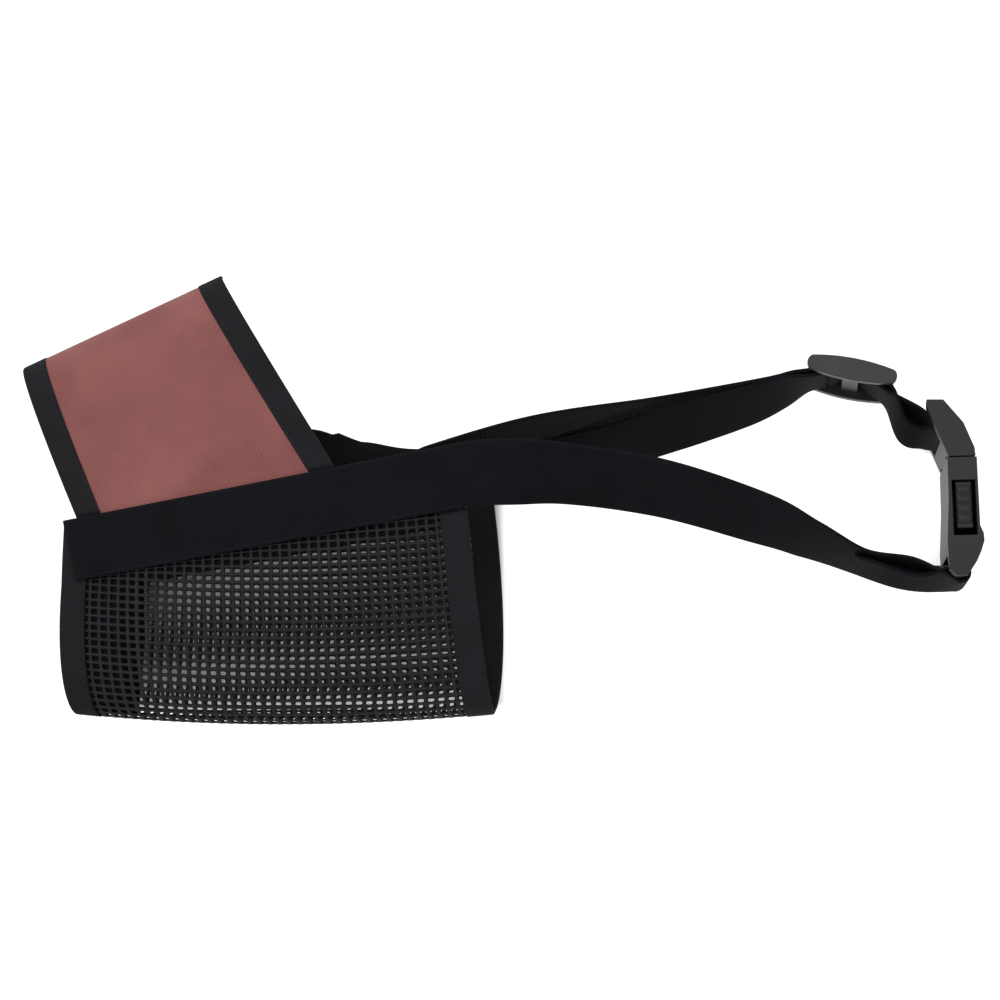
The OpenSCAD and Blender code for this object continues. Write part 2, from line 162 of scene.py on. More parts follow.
# Nose cloth: u runs along the fold, k from the fold (0) by the band's edge (8) to the seam (9)
def nosePoint(u, j, d):
    u, j, d = np.broadcast_arrays(u, j, d)
    k = np.abs(j)
    fx = mix(noseX0, noseX1, u)
    ex = mix(noseX0 + noseCut["frontEdge"], noseX1 + noseCut["rearEdge"], u)
    sx = mix(noseX0 + noseCut["frontSeam"], noseX1 + noseCut["rearSeam"], u)
    p = (np.minimum(k, noseN) / noseN) ** noseCut["curve"]
    q = np.clip(k - noseN, 0, 1)
    x = mix(mix(fx, ex, p), sx, q)
    y = mix(mix(foldY(fx), bandY(ex) + edgeY, p), bandY(sx) + seamGap, q)
    upper = skin(x, y, 1.0, d)
    back = x - noseCut["lean"] * (skin(x, y, -1.0, d)[..., 1] - upper[..., 1])
    lower = skin(back, y + bandY(back) - bandY(x), -1.0, d)
    return np.where((j < 0)[..., None], upper, lower)


# Mesh: u runs along the jaw, k from the jaw fold (0) by the band's edge (7) to the seam (8), then on to
# the band's other edge (9); its ends bow by a sine of the way up
def meshPoint(u, j, d):
    u, j, d = np.broadcast_arrays(u, j, d)
    k = np.abs(j)
    gx = mix(meshX0, rimX, u)
    ex = mix(meshX0, rimX - meshCut["cutBack"], u)
    p = (np.minimum(k, meshN) / meshN) ** meshCut["curve"]
    q = np.clip(k - meshN, 0, 1)
    bow = np.where(j < 0, meshCut["rearBow"], 0) * u ** 2 - meshCut["frontBow"] * (1 - u) ** 2
    x = mix(gx, ex, p) + bow * np.sin(meshCut["bowTurn"] * p ** meshCut["bowPower"])
    y = mix(mix(jawY(gx), bandY(ex) - edgeY, p), bandY(ex) - seamGap, q)
    y = mix(y, bandY(ex) + edgeY - 2 * lay, np.clip(k - meshN - 1, 0, 1))
    return np.where((j > 0)[..., None], skin(x, y, 1.0, d), skin(x, y, -1.0, d))


def rowLength(point, j):  # straight length of one row of a sheet, in millimetres
    ends = point(np.array([0.0, 1.0]), j, 0.0)
    return np.linalg.norm(ends[1] - ends[0])


# Shader wiring: arithmetic on a wire adds Math nodes, node() adds any other
class Wire:
    def __init__(self, tree, socket=None):
        self.tree, self.socket = tree, socket

    def node(self, kind, settings=None, inputs=None, out=0):
        made = self.tree.nodes.new("ShaderNode" + kind)
        for key, value in (settings or {}).items():
            setattr(made, key, value)
        for key, value in (inputs or {}).items():
            self.feed(made.inputs[key], value)
        return Wire(self.tree, made.outputs[out])

    def feed(self, socket, value):
        if isinstance(value, Wire):
            self.tree.links.new(value.socket, socket)
        else:
            socket.default_value = value

    def math(self, how, a, b=0.0, c=0.0):
        return self.node("Math", {"operation": how}, {0: a, 1: b, 2: c})

    def __add__(self, o): return self.math("ADD", self, o)
    def __radd__(self, o): return self.math("ADD", o, self)
    def __sub__(self, o): return self.math("SUBTRACT", self, o)
    def __rsub__(self, o): return self.math("SUBTRACT", o, self)
    def __mul__(self, o): return self.math("MULTIPLY", self, o)
    def __rmul__(self, o): return self.math("MULTIPLY", o, self)
    def __truediv__(self, o): return self.math("DIVIDE", self, o)
    def sine(self): return self.math("SINE", self)
    def size(self): return self.math("ABSOLUTE", self)
    def floor(self): return self.math("FLOOR", self)
    def step(self, edge, soft): return self.node(
        "MapRange", {"interpolation_type": "SMOOTHSTEP"},
        {"Value": self, "From Min": edge - soft, "From Max": edge + soft})

    def blendTo(self, dark, light):
        return self.node("Mix", {"data_type": "RGBA"}, {0: self, 6: (*dark, 1), 7: (*light, 1)}, 2)


def linear(r, g, b):  # display values, 0 to 255, to linear ones
    return tuple(((v / 255 + 0.055) / 1.055) ** 2.4 for v in (r, g, b))


def newFinish(name, look):
    made = bpy.data.materials.new(name)
    made.use_nodes = True
    shader = made.node_tree.nodes["Principled BSDF"]
    shader.inputs["Specular IOR Level"].default_value = look["specular"]
    shader.inputs["Sheen Weight"].default_value = look.get("sheen", 0.0)
    return made, shader, Wire(made.node_tree)


# The tone goes between the look's two colours; the height gives the bump and some of the roughness
def finishWith(shader, wire, look, tone, height):
    wire.feed(shader.inputs["Base Color"], tone.blendTo(linear(*look["dark"]), linear(*look["light"])))
    more = look["roughMore"]
    wire.feed(shader.inputs["Roughness"], look["rough"] + height * more if more else look["rough"])
    bump = wire.node("Bump", {}, {"Strength": look["bump"], "Distance": look["deep"], "Height": height})
    wire.feed(shader.inputs["Normal"], bump)


def along(wire):  # the piece's own UV map in millimetres: x along the cloth, y across it
    uv = wire.node("UVMap", {"uv_map": "cloth"})
    return (wire.node("SeparateXYZ", {}, {0: uv}, 0), wire.node("SeparateXYZ", {}, {0: uv}, 1))


def mottle(wire, scale, detail=3.0):  # soft uneven tone from the place on the object
    spot = wire.node("TexCoord", {}, {}, 3)
    return wire.node("TexNoise", {}, {"Vector": spot, "Scale": scale, "Detail": detail})


tau = 2 * np.pi


def plainWeave(x, y, yarn):  # the product of two sines along and across
    p = tau / yarn / 2
    return (x * p).sine() * (y * p).sine() * 0.5 + 0.5


def crossRibs(x, y, yarn):  # fine ribs across the tape
    return (x * (tau / yarn)).sine() * 0.5 + 0.5


def strandTwist(x, y, yarn):  # coated yarn with a slight twist along each strand
    return ((x + y) * (tau / yarn)).sine() * 0.5 + 0.5


# Cloths: a pattern and its yarn in millimetres, two display colours, the shares of the pattern and of
# soft patches in the tone, then roughness, shine and bump, whose depth is in metres
noseLook = {"pattern": plainWeave, "yarn": 0.85, "dark": (112, 61, 59), "light": (166, 106, 102),
            "grain": 0.22, "patch": 0.75, "patchScale": 55.0, "base": 0.02, "rough": 0.82, "roughMore": 0.06,
            "specular": 0.22, "sheen": 0.12, "bump": 0.35, "deep": 0.00025}
tapeLook = {"pattern": crossRibs, "yarn": 0.62, "dark": (20, 19, 22), "light": (42, 41, 46),
            "grain": 0.35, "patch": 0.5, "patchScale": 90.0, "base": 0.0, "rough": 0.78, "roughMore": 0.08,
            "specular": 0.13, "bump": 0.3, "deep": 0.00015}
netLook = {"pattern": strandTwist, "yarn": 0.55, "dark": (12, 12, 16), "light": (36, 36, 43),
           "grain": 0.3, "patch": 0.7, "patchScale": 120.0, "base": 0.0, "rough": 0.55, "roughMore": 0.1,
           "specular": 0.28, "bump": 0.25, "deep": 0.0001}
facingLook = {"pattern": plainWeave, "yarn": 0.8, "dark": (10, 10, 13), "light": (22, 22, 26),
              "grain": 0.4, "patch": 0.6, "patchScale": 80.0, "base": 0.0, "rough": 0.85, "roughMore": 0.0,
              "specular": 0.12, "bump": 0.3, "deep": 0.00015}


def clothFinish(name, look):
    made, shader, wire = newFinish(name, look)
    grain = look["pattern"](*along(wire), look["yarn"])
    tone = grain * look["grain"] + mottle(wire, look["patchScale"]) * look["patch"] + look["base"]
    finishWith(shader, wire, look, tone, grain)
    return made


webLook = {"rib": 1.3, "yarn": 2.1, "edgeAt": 8.9, "edgeSoft": 0.4, "dark": (7, 7, 10), "light": (28, 27, 33),
           "ribHigh": 0.7, "ridgeHigh": 0.3, "edgeHigh": 0.35, "grain": 0.45, "patch": 0.55, "patchScale": 70.0,
           "edgeTone": 0.12, "base": -0.1, "rough": 0.74, "roughMore": 0.1, "specular": 0.09, "bump": 0.55,
           "deep": 0.0003}


def webbingFinish(name, look):  # ribs along the strap that change over from one yarn to the next
    made, shader, wire = newFinish(name, look)
    x, y = along(wire)
    lane = (y / look["yarn"]).floor() * (tau / 4)
    ribs = (x * (tau / look["rib"]) + lane).sine() * 0.5 + 0.5
    ridge = (y * (tau / look["yarn"] / 2)).sine().size()
    edge = y.size().step(look["edgeAt"], look["edgeSoft"])
    height = ribs * (1 - edge) * look["ribHigh"] + ridge * look["ridgeHigh"] + edge * look["edgeHigh"]
    tone = height * look["grain"] + mottle(wire, look["patchScale"]) * look["patch"]
    finishWith(shader, wire, look, tone + edge * look["edgeTone"] + look["base"], height)
    return made


fineDetail = 2.0
threadLook = {"dark": (22, 22, 25), "light": (44, 44, 49), "grainScale": 900.0, "rough": 0.6, "roughMore": 0.1,
              "specular": 0.25, "bump": 0.3, "deep": 0.0001}


def threadFinish(name, look):  # twisted sewing thread
    made, shader, wire = newFinish(name, look)
    grain = mottle(wire, look["grainScale"], fineDetail)
    finishWith(shader, wire, look, grain, grain)
    return made


plasticLook = {"grainScale": 1500.0, "grain": 0.3, "patch": 0.7, "patchScale": 60.0, "roughMore": 0.12,
               "specular": 0.45, "bump": 0.12, "deep": 0.0001}


def plasticFinish(name, dark, light, rough):  # moulded plastic with a fine spark-eroded grain
    look = {**plasticLook, "dark": dark, "light": light, "rough": rough}
    made, shader, wire = newFinish(name, look)
    grain = mottle(wire, look["grainScale"], fineDetail)
    tone = mottle(wire, look["patchScale"]) * look["patch"] + grain * look["grain"]
    finishWith(shader, wire, look, tone, grain)
    return made


finishes = {"nose": clothFinish("noseCloth", noseLook), "tape": clothFinish("bindingTape", tapeLook),
            "web": webbingFinish("strapWebbing", webLook), "net": clothFinish("meshYarn", netLook),
            "facing": clothFinish("facingCloth", facingLook), "thread": threadFinish("sewingThread", threadLook),
            "buckle": plasticFinish("bucklePlastic", (20, 20, 21), (34, 34, 35), 0.44),
            "prong": plasticFinish("prongPlastic", (15, 15, 16), (28, 28, 29), 0.46),
            "slider": plasticFinish("sliderPlastic", (36, 36, 37), (54, 54, 55), 0.42)}
print("finishes made:", len(finishes))


def toRow(points):  # work millimetres to the row's metres
    return (np.asarray(points) + np.array(cut["home"])) / 1000


# Puts points, four-sided faces with a UV at each corner, and end caps into a closed mesh
def makePiece(name, points, quads, corners, caps, finish):
    mesh = bpy.data.meshes.new(name)
    flat = toRow(points).reshape(-1, 3)
    mesh.from_pydata(flat.tolist(), [], quads.tolist() + [list(c) for c in caps])
    spare = sum(len(c) for c in caps)
    uv = np.concatenate([corners.reshape(-1, 2), np.zeros((spare, 2))])
    mesh.uv_layers.new(name="cloth").data.foreach_set("uv", uv.astype(np.float32).ravel())
    mesh.polygons.foreach_set("use_smooth", np.full(len(mesh.polygons), True))
    mesh.materials.append(finishes[finish])
    turned = bmesh.new()
    turned.from_mesh(mesh)
    bmesh.ops.recalc_face_normals(turned, faces=turned.faces)
    turned.to_mesh(mesh)
    turned.free()
    made = bpy.data.objects.new(name, mesh)
    bpy.context.scene.collection.objects.link(made)
    return made


# A profile of m points carried through n stations, closed round the profile and capped at both ends
def loft(name, P, u, v, finish):
    n, m = P.shape[:2]
    i, j = np.meshgrid(np.arange(n - 1), np.arange(m), indexing="ij")
    k = (j + 1) % m
    quads = np.stack([i * m + j, (i + 1) * m + j, (i + 1) * m + k, i * m + k], -1).reshape(-1, 4)
    wrap = np.append(v, v[0])
    corners = np.stack([np.stack([u[i], wrap[j]], -1), np.stack([u[i + 1], wrap[j]], -1),
                        np.stack([u[i + 1], wrap[j + 1]], -1), np.stack([u[i], wrap[j + 1]], -1)], -2)
    caps = [range(m), range((n - 1) * m, n * m)]
    return makePiece(name, P, quads, corners, caps, finish)


# A closed sheet between an outer and an inner grid of the same size
def slab(name, outer, inner, u, v, finish):
    n, m = outer.shape[:2]
    g = n * m
    i, j = (a.ravel() for a in np.meshgrid(np.arange(n - 1), np.arange(m - 1), indexing="ij"))
    face = np.stack([i * m + j, (i + 1) * m + j, (i + 1) * m + j + 1, i * m + j + 1], -1)
    rim = np.concatenate([np.arange(m), np.arange(1, n) * m + m - 1,
                          (n - 1) * m + np.arange(m - 2, -1, -1), np.arange(n - 2, 0, -1) * m])
    nxt = np.roll(rim, -1)
    wall = np.stack([rim, nxt, nxt + g, rim + g], -1)
    quads = np.concatenate([face, face[:, ::-1] + g, wall])
    flat = np.stack(np.broadcast_arrays(u, v), -1).reshape(-1, 2)
    return makePiece(name, np.concatenate([outer.reshape(-1, 3), inner.reshape(-1, 3)]), quads,
                     np.concatenate([flat, flat])[quads], [], finish)


def place(piece, body, nodes=()):
    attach(piece, body)
    if nodes:
        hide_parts(*nodes)
    return piece


def runLength(points):  # distance along a line of points, in millimetres
    return np.concatenate([[0], np.cumsum(np.linalg.norm(np.diff(points, axis=0), axis=1))])


# Camera at the photograph's angle
view = {"eye": (86.04, -103.06, 553.36), "right": (0.98724, 0.0, -0.15926),
        "up": (0.02984, 0.98229, 0.18499), "back": (0.15643, -0.18738, 0.96975), "lens": 63.86}
camera = bpy.data.objects.new("camera", bpy.data.cameras.new("camera"))
camera.data.lens, camera.data.sensor_width = view["lens"], 36.0
camera.data.clip_start, camera.data.clip_end = 0.01, 20.0
turn = np.eye(4)
turn[:3, 0], turn[:3, 1], turn[:3, 2] = view["right"], view["up"], view["back"]
turn[:3, 3] = toRow(view["eye"])
camera.matrix_world = Matrix(turn.tolist())
bpy.context.scene.collection.objects.link(camera)
bpy.context.scene.camera = camera

# Plain soft light and a white floor whose glow carries painted shade where the basket covers it and a darker painted
# shadow where a piece stands on it
studio = {"world": 0.7, "keyPower": 6.0, "keySize": 1.2, "keyAt": (-0.35, 0.6, 1.2), "floorHalf": 3.0,
          "floorWhite": 1.25, "floorMatt": 0.9, "shadeReach": 0.03, "shadeSamples": 12, "shadeMiddle": 0.46,
          "shadeSoft": 0.36, "shadeTop": 0.6, "coverMiddle": 0.26, "coverSoft": 0.14,
          "jawEdge": 0.0035, "jawSoft": 0.0015, "bandPast": 6.0, "edgeSoft": 0.002}
world = bpy.data.worlds.new("studio")
bpy.context.scene.world = world
world.use_nodes = True
world.node_tree.nodes["Background"].inputs["Strength"].default_value = studio["world"]
world.node_tree.nodes["Background"].inputs["Color"].default_value = (1, 1, 1, 1)
key = bpy.data.objects.new("keyLight", bpy.data.lights.new("keyLight", "AREA"))
key.data.energy, key.data.size = studio["keyPower"], studio["keySize"]
key.location = studio["keyAt"]
key.rotation_euler = (-key.location).to_track_quat("-Z", "Y").to_euler()
bpy.context.scene.collection.objects.link(key)
floorMesh = bpy.data.meshes.new("floor")
half = studio["floorHalf"]
floorMesh.from_pydata([(-half, -half, 0), (half, -half, 0), (half, half, 0), (-half, half, 0)], [], [(0, 1, 2, 3)])
floor = bpy.data.objects.new("floor", floorMesh)
bpy.context.scene.collection.objects.link(floor)
floorPaint = bpy.data.materials.new("floorPaint")
floorPaint.use_nodes = True
paint = Wire(floorPaint.node_tree)
floorPaint.node_tree.nodes.remove(floorPaint.node_tree.nodes["Principled BSDF"])
seen = paint.node("LightPath", {}, {}, 0) + paint.node("LightPath", {}, {}, 5)
seen = seen + paint.node("LightPath", {}, {}, 6)
matt = paint.node("BsdfDiffuse", {}, {"Color": (*[studio["floorMatt"]] * 3, 1)})
bare = paint.node("AmbientOcclusion", {"samples": studio["shadeSamples"]}, {"Distance": studio["shadeReach"]}, 1)
spot = paint.node("TexCoord", {}, {}, 3)
floorX, floorY = (paint.node("SeparateXYZ", {}, {0: spot}, way) for way in (0, 1))
seat, rim, front = (toRow((x, y, 0)).tolist() for x, y in (
    (seatX, jawY(seatX)), (rimX, bandY(rimX) + studio["bandPast"]), (meshX0, 0)))
fromSeat = (floorX - seat[0]) / (cut["seatBack"] / 1000)
aboveJaw = floorY - seat[1] - fromSeat * fromSeat * (cut["jawBow"] / 1000)
belowBand = (floorX - rim[0]) * float(bandK) + rim[1] - floorY
# The basket's footprint on the floor, the area that gets painted shade
under = aboveJaw.step(studio["jawEdge"], studio["jawSoft"]) * belowBand.step(0.0, studio["edgeSoft"])
under = under * floorX.step(front[0], studio["edgeSoft"]) * (1 - floorX.step(rim[0], studio["edgeSoft"]))
# Painted shade: inside the footprint the floor's glow is darkened by its ambient occlusion
paintedShade = 1 - under * (1 - bare.step(studio["shadeMiddle"], studio["shadeSoft"]) * studio["shadeTop"])
# Painted shadow: wherever a piece covers the floor closely, the glow is darkened further
paintedShade = paint.math("MINIMUM", paintedShade, bare.step(studio["coverMiddle"], studio["coverSoft"]))
glow = paint.node("Emission", {}, {"Color": paintedShade, "Strength": studio["floorWhite"]})
mixed = paint.node("MixShader", {}, {0: paint.math("MINIMUM", seen, 1.0), 1: matt, 2: glow})
paint.feed(floorPaint.node_tree.nodes["Material Output"].inputs["Surface"], mixed)
floorMesh.materials.append(floorPaint)
floor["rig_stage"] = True
bpy.context.scene.view_settings.view_transform = "Standard"
print("camera, light and floor made")

# Nose cloth: a sheet bent over the fold, a little slack between its bindings
nose = {"alongSteps": 60, "roundSteps": 120, "slack": 0.35}
u = np.linspace(0, 1, nose["alongSteps"] + 1)[:, None]
j = np.linspace(-noseN - 1, noseN + 1, nose["roundSteps"] + 1)[None, :]
sag = nose["slack"] * np.sin(np.pi * u) ** 2 * np.sin(np.pi * np.abs(j) / (noseN + 1)) ** 2
middle = nosePoint(u, j, 0.0)
alongMm = u * rowLength(nosePoint, noseN)
roundMm = runLength(middle[nose["alongSteps"] // 2])[None, :]
noseCloth = slab("noseCloth", nosePoint(u, j, cut["clothT"] / 2 - sag),
                 nosePoint(u, j, -cut["clothT"] / 2 - sag), alongMm, roundMm, "nose")
place(noseCloth, "basket", ["nose_panel"])

tape = {"steps": 14, "grooveDeep": 0.09, "grooveIn": 1.7, "grooveWide": 0.45, "lip": 0.08, "foldSteps": 9,
        "foldTurn": 75, "outFoldAt": 0.2, "outFoldR": 0.75, "inFoldAt": 0.15, "inFoldR": 0.45}


# Tape folded over an edge: out face, round fold and in face, with a sewn groove near the free edges;
# w is the distance inside the edge and d the distance from the cloth's middle
def tapeProfile(width):
    w = np.linspace(width, tape["outFoldAt"], tape["steps"])
    groove = tape["grooveDeep"] * np.exp(-((w - width + tape["grooveIn"]) / tape["grooveWide"]) ** 2)
    a = np.radians(np.linspace(tape["foldTurn"], -tape["foldTurn"], tape["foldSteps"]))
    outW, outN = tape["outFoldAt"] - tape["outFoldR"] * np.cos(a), tapeOut * np.sin(a)
    inW, inN = tape["inFoldAt"] - tape["inFoldR"] * np.cos(a[::-1]), tapeIn * np.sin(a[::-1])
    lip = [width + tape["lip"]]
    pw = np.concatenate([w, outW, w[::-1], lip, w, inW, w[::-1], lip])
    pd = np.concatenate([tapeOut - groove, outN, groove[::-1] - tapeOut, [-(tapeOut + tapeIn) / 2],
                         np.full(tape["steps"], -tapeIn), inN, np.full(tape["steps"], tapeIn),
                         [(tapeOut + tapeIn) / 2]])
    return pw, pd


def tapePiece(name, point, rows, rear):
    pw, pd = tapeProfile(cut["tapeW"])
    w = pw[None, :] / np.array([rowLength(point, r) for r in rows])[:, None]
    P = point(1 - w if rear else w, rows[:, None], pd[None, :])
    v = runLength(np.stack([pw, pd, 0 * pw], -1))
    return loft(name, P, runLength(P[:, 0]), v, "tape")


# Stitches: short thread loops laid in a row; the line gives a point for a share s and a height d
stitch = {"pitch": 2.7, "length": 1.9, "radius": 0.2, "rings": 5, "sides": 6, "sink": 0.05,
          "taper": 0.92, "crown": 0.7, "dip": 0.35}


def stitchRow(line, d, first=0.01, last=0.99):
    s = np.linspace(first, last, 800)
    run = runLength(line(s, d))
    marks = np.arange(stitch["pitch"] / 2, run[-1], stitch["pitch"])
    at = np.interp(marks, run, s)
    ahead = unit(line(at + 0.002, d) - line(at - 0.002, d))
    rise = unit(line(at, d + 0.2) - line(at, d))
    return line(at, d), ahead, rise


def stitchPiece(name, rows, body):
    c, ahead, rise = (np.concatenate([r[k] for r in rows]) for k in range(3))
    side = np.cross(ahead, rise)
    n, m = stitch["rings"], stitch["sides"]
    t = np.linspace(-1, 1, n)
    fat = np.sqrt(1 - (stitch["taper"] * t) ** 2)
    a = np.radians(np.arange(m) * 360 / m)
    x = t * stitch["length"] / 2
    lift = stitch["radius"] * (stitch["crown"] * (1 - t ** 2) - stitch["dip"])
    ring = stitch["radius"] * fat[:, None] * np.cos(a), stitch["radius"] * fat[:, None] * np.sin(a)
    P = (c[:, None, None] + ahead[:, None, None] * x[None, :, None, None]
         + side[:, None, None] * ring[0][None, :, :, None]
         + rise[:, None, None] * (ring[1] + lift[:, None])[None, :, :, None])
    k, i, j = (b.ravel() for b in np.meshgrid(np.arange(len(c)), np.arange(n - 1), np.arange(m), indexing="ij"))
    base, l = (k * n + i) * m, (j + 1) % m
    quads = np.stack([base + j, base + m + j, base + m + l, base + l], -1)
    caps = [range((b * n + end) * m, (b * n + end + 1) * m) for end in (0, n - 1) for b in range(len(c))]
    made = makePiece(name, P, quads, np.zeros((len(quads), 4, 2)), caps, "thread")
    return place(made, body)


def tapeStitches(name, point, low, high, rear):
    span = rowLength(point, (low + high) / 2 if low * high > 0 else high * 0.6)
    w = (cut["tapeW"] - tape["grooveIn"]) / span
    share = 1 - w if rear else w
    line = lambda s, d: point(share + 0 * s, mix(low, high, s), d)
    lift = tapeOut - stitch["sink"]
    rows = [stitchRow(line, lift), stitchRow(lambda s, d: line(s, -d), lift)]
    return stitchPiece(name, rows, "basket")


noseRows = np.linspace(-noseN, noseN, 121)
meshRows = np.linspace(-meshN, meshN, 121)
frontRows = np.linspace(-meshN - 1, meshN + 1.9, 147)
place(tapePiece("noseFrontTape", nosePoint, noseRows, False), "basket", ["nose_front_binding"])
place(tapePiece("noseRearTape", nosePoint, noseRows, True), "basket", ["nose_rear_binding"])
place(tapePiece("meshFrontTape", meshPoint, frontRows, False), "basket", ["mesh_front_binding"])
place(tapePiece("meshRearTape", meshPoint, meshRows, True), "basket", ["mesh_rear_binding"])
tapeStitches("noseFrontStitches", nosePoint, -noseN, noseN, False)
tapeStitches("noseRearStitches", nosePoint, -noseN, noseN, True)
tapeStitches("meshFrontStitches", meshPoint, 0.3 - meshN, meshN - 0.3, False)
tapeStitches("meshRearStitches", meshPoint, -meshN, meshN, True)
print("nose cloth and bindings made")

# Mesh: a net of rounded strands; each cell's edge is raised and its gap's rim lies at mid thickness
net = {"columns": 42, "rowPitch": 2.45, "gapAlong": 0.31, "gapAcross": 0.29, "knot": 0.5, "strand": 0.36,
       "layerShift": 0.15, "foldRows": 1.0, "easeRows": 4.0, "lastRows": 8, "round": 0.84,
       "underBand": meshN - 0.1, "offFold": 1e-6}
fine, fineU, perRow = np.linspace(0, meshN + 1, 401), np.linspace(0, 1, 85), 4
offFold = np.maximum(fine, net["offFold"])
sideRows, sideShare, sideFree = {}, {}, {}
for side in (-1, 1):  # distance from the jaw fold turned into the mesh's own share, at each place along the jaw
    P = meshPoint(fineU[:, None], side * offFold[None, :], 0.0)
    steps = np.cumsum(np.linalg.norm(np.diff(P, axis=1), axis=2), axis=1)
    sideRows[side] = int(steps[:, -1].max() / net["rowPitch"])
    at = np.linspace(0, sideRows[side], sideRows[side] * perRow + 1) * net["rowPitch"]
    table, sideFree[side] = [], []
    for run in np.pad(steps, ((0, 0), (1, 0))):
        free, full = np.interp(net["underBand"], fine, run), run[-1]
        sideFree[side].append(free / net["rowPitch"])
        tight = free + (at - free) * (full - free) / (at[-1] - free)
        table.append(np.interp(np.where(at < free, at, tight), run, fine))
    sideShare[side] = np.array(table)
netRows = sideRows[-1] + sideRows[1]


def seenHeight(P):  # how high a point stands in the camera's picture
    away = P - np.array(view["eye"])
    return (away @ np.array(view["up"])) / -(away @ np.array(view["back"]))


# The lower layer's rows line up behind the upper layer's as the camera sees them, apart from the first few
# at the fold; past the upper layer's last open row they go on at the same pace
nearAt, farAt = (np.arange(sideRows[side] * perRow + 1) / perRow for side in (1, -1))
for i, u in enumerate(fineU):
    nearV = seenHeight(meshPoint(u, np.maximum(sideShare[1][i], net["offFold"]), 0.0))
    farV = np.maximum.accumulate(seenHeight(meshPoint(u, -offFold, 0.0)) + 1e-9 * fine)
    last, asked = sideFree[1][i], farAt - net["layerShift"]
    lastV, earlierV = np.interp([last, last - net["lastRows"]], nearAt, nearV)
    beyond = lastV + (asked - last) * (lastV - earlierV) / net["lastRows"]
    lined = np.interp(np.where(asked <= last, np.interp(asked, nearAt, nearV), beyond), farV, fine)
    share = mix(sideShare[-1][i], lined, ease((farAt - net["foldRows"]) / net["easeRows"]))
    full = farAt[np.argmax(share > net["underBand"])]
    tight = mix(net["underBand"], meshN + 1, np.clip((farAt - full) / (farAt[-1] - full), 0, 1))
    sideShare[-1][i] = np.where(farAt < full, share, tight)


def lookUp(table, a, b):  # value between the four nearest entries
    i = np.clip(a.astype(int), 0, table.shape[0] - 2)
    j = np.clip(b.astype(int), 0, table.shape[1] - 2)
    return mix(mix(table[i, j], table[i + 1, j], a - i),
               mix(table[i, j + 1], table[i + 1, j + 1], a - i), b - j)


# Rows are counted from the lower seam round the jaw fold to the upper one, and draw together under the bands
def netPoint(col, row, d):
    u = np.asarray(col, float) / net["columns"]
    fromFold = row - sideRows[-1]
    share = {side: lookUp(sideShare[side], u * (len(fineU) - 1),
                          np.clip(side * fromFold, 0.0, sideRows[side]) * perRow) for side in (-1, 1)}
    return meshPoint(u, share[1] - share[-1], d)


def netPiece():
    n, m = net["columns"], netRows
    ci, cj = np.meshgrid(np.arange(n + 1), np.arange(m + 1), indexing="ij")
    ui, uj = np.meshgrid(np.arange(n) + 0.5, np.arange(m + 1), indexing="ij")
    vi, vj = np.meshgrid(np.arange(n + 1), np.arange(m) + 0.5, indexing="ij")
    gi, gj = np.meshgrid(np.arange(n) + 0.5, np.arange(m) + 0.5, indexing="ij")
    r = net["round"]
    a = np.array([-r, 0, r, 1, r, 0, -r, -1]) * net["gapAlong"]
    b = np.array([-r, -1, -r, 0, r, 1, r, 0]) * net["gapAcross"]
    cols = np.concatenate([ci.ravel(), ui.ravel(), vi.ravel()])
    rows = np.concatenate([cj.ravel(), uj.ravel(), vj.ravel()])
    high = np.concatenate([np.full(ci.size, net["knot"]), np.full(ui.size + vi.size, net["strand"])])
    rimCols, rimRows = (gi[..., None] + a).ravel(), (gj[..., None] + b).ravel()
    count = len(cols)
    P = np.concatenate([netPoint(cols, rows, high), netPoint(cols, rows, -high), netPoint(rimCols, rimRows, 0.0)])
    flat = np.concatenate([np.stack([cols, rows], -1)] * 2 + [np.stack([rimCols, rimRows], -1)])
    flat = flat * net["rowPitch"]
    i, j = (g.ravel() for g in np.meshgrid(np.arange(n), np.arange(m), indexing="ij"))
    corner = lambda i, j: i * (m + 1) + j
    strandAlong = lambda i, j: ci.size + i * (m + 1) + j
    strandAcross = lambda i, j: ci.size + ui.size + i * m + j
    ring = np.stack([corner(i, j), strandAlong(i, j), corner(i + 1, j), strandAcross(i + 1, j),
                     corner(i + 1, j + 1), strandAlong(i, j + 1), corner(i, j + 1), strandAcross(i, j)], -1)
    rim = 2 * count + (i * m + j)[:, None] * 8 + np.arange(8)
    top = np.stack([ring, np.roll(ring, -1, 1), np.roll(rim, -1, 1), rim], -1).reshape(-1, 4)
    low = np.stack([rim, np.roll(rim, -1, 1), np.roll(ring, -1, 1) + count, ring + count], -1).reshape(-1, 4)
    x, y = np.arange(n), np.arange(m)
    border = [np.stack([corner(x, 0), strandAlong(x, 0)], -1), np.stack([strandAlong(x, 0), corner(x + 1, 0)], -1),
              np.stack([strandAlong(x, m), corner(x, m)], -1), np.stack([corner(x + 1, m), strandAlong(x, m)], -1),
              np.stack([strandAcross(0, y), corner(0, y)], -1), np.stack([corner(0, y + 1), strandAcross(0, y)], -1),
              np.stack([corner(n, y), strandAcross(n, y)], -1), np.stack([strandAcross(n, y), corner(n, y + 1)], -1)]
    border = np.concatenate(border)
    wall = np.stack([border[:, 1], border[:, 0], border[:, 0] + count, border[:, 1] + count], -1)
    quads = np.concatenate([top, low, wall])
    return makePiece("meshNet", P, quads, flat[quads], [], "net")


meshNet = place(netPiece(), "basket", ["mesh_basket"])
print("net made, rows:", netRows)


# Strip along the side seam: a thin cloth between two distances from the seam's line
def seamStrip(name, side, x0, x1, low, high, d0, d1, finish):
    x = np.linspace(x0, x1, 90)[:, None]
    y = np.linspace(low, high, 13)[None, :]
    return slab(name, skin(x, bandY(x) + y, side, d0), skin(x, bandY(x) + y, side, d1), x, y, finish)


